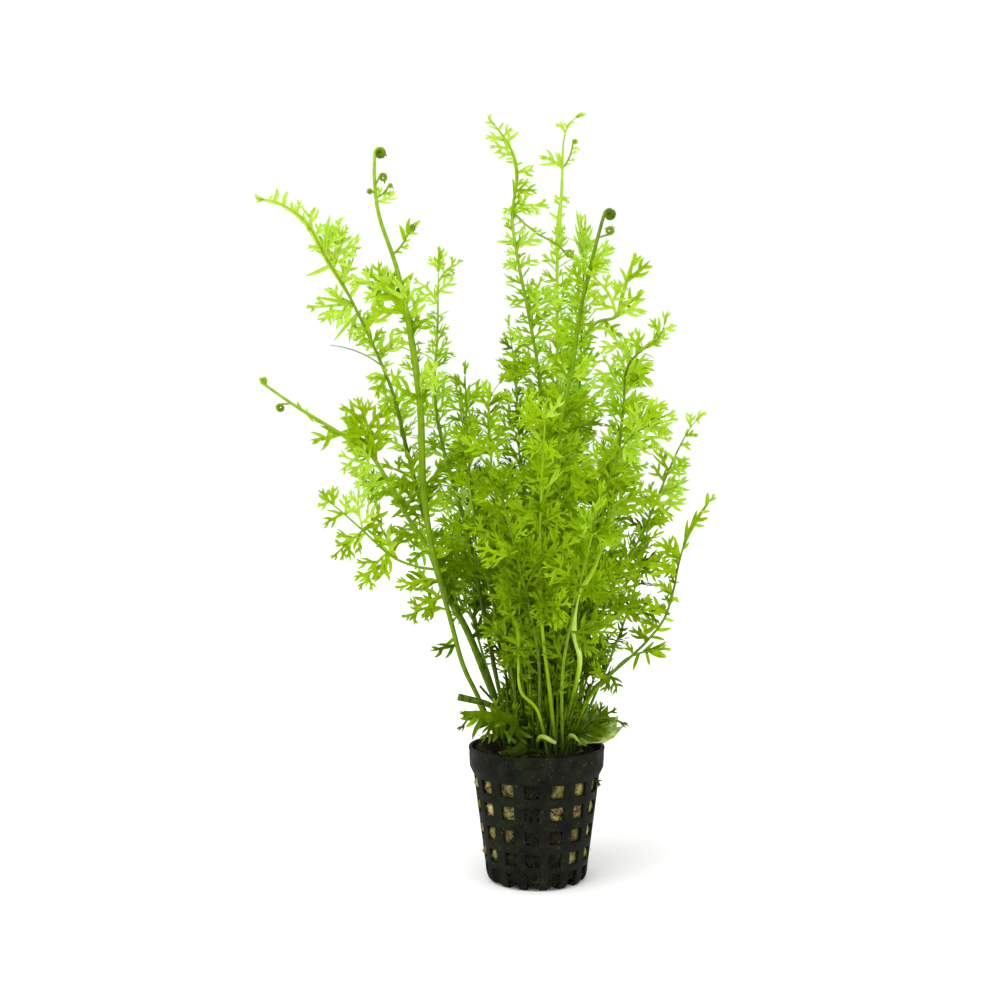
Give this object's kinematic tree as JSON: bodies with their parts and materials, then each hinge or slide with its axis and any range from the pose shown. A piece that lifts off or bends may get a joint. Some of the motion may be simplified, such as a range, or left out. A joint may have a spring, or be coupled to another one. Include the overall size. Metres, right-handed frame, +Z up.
{
  "type": "potted water sprite",
  "caption": "Upright bushy aquarium fern with finely cut lime green fronds and young coiled tips, rooted in rock wool in a black net pot.",
  "frame": {"origin": "middle of the flat underside of the pot", "axes": "+Z up, +X to the right and -Y towards the viewer, as the picture shows the plant"},
  "size_m": [0.1762, 0.1284, 0.2997],
  "materials": {
    "pot_plastic": "matt black moulded plastic, dusty, with dirt in the corners",
    "wool": "matt tan mineral fibre, stained brown and olive by roots and algae",
    "crown_stock": "rough dark brown fern stock with root hairs",
    "leaf": "soft, thin and translucent lime green leaf, darker green stalks"
  },
  "bodies": {
    "root": {"net_pot": "pot_plastic", "rock_wool": "wool", "crown": "crown_stock", "fiddlehead_left": "leaf", "frond_left_arching": "leaf", "frond_left_spreading": "leaf", "frond_left_low_branch": "leaf", "frond_left_pale": "leaf", "frond_short_left": "leaf", "frond_inner_left": "leaf", "frond_tall_left": "leaf", "frond_tallest": "leaf", "fiddlehead_right": "leaf", "frond_right_forked_branch": "leaf", "frond_right_inner": "leaf", "frond_right_front": "leaf", "frond_right_outer": "leaf", "frond_right_low": "leaf", "frond_right_lowest": "leaf", "frond_centre_front": "leaf", "frond_right_back": "leaf", "frond_inner_back": "leaf", "frond_back_left": "leaf", "frond_back_centre": "leaf", "frond_back_right": "leaf", "frond_back_low": "leaf", "frond_back_right_low": "leaf", "frond_back_left_low": "leaf", "frond_front_left": "leaf", "frond_front_right": "leaf", "frond_front_drooping": "leaf", "base_leaf_left": "leaf", "base_leaf_left_back": "leaf", "base_leaf_front": "leaf", "base_leaf_inside_rim": "leaf", "base_leaf_right_pale": "leaf", "base_leaf_right_curled": "leaf", "cut_stem_left": "leaf", "cut_stem_left_small": "leaf", "cut_stem_front": "leaf"}
  },
  "joints": []
}
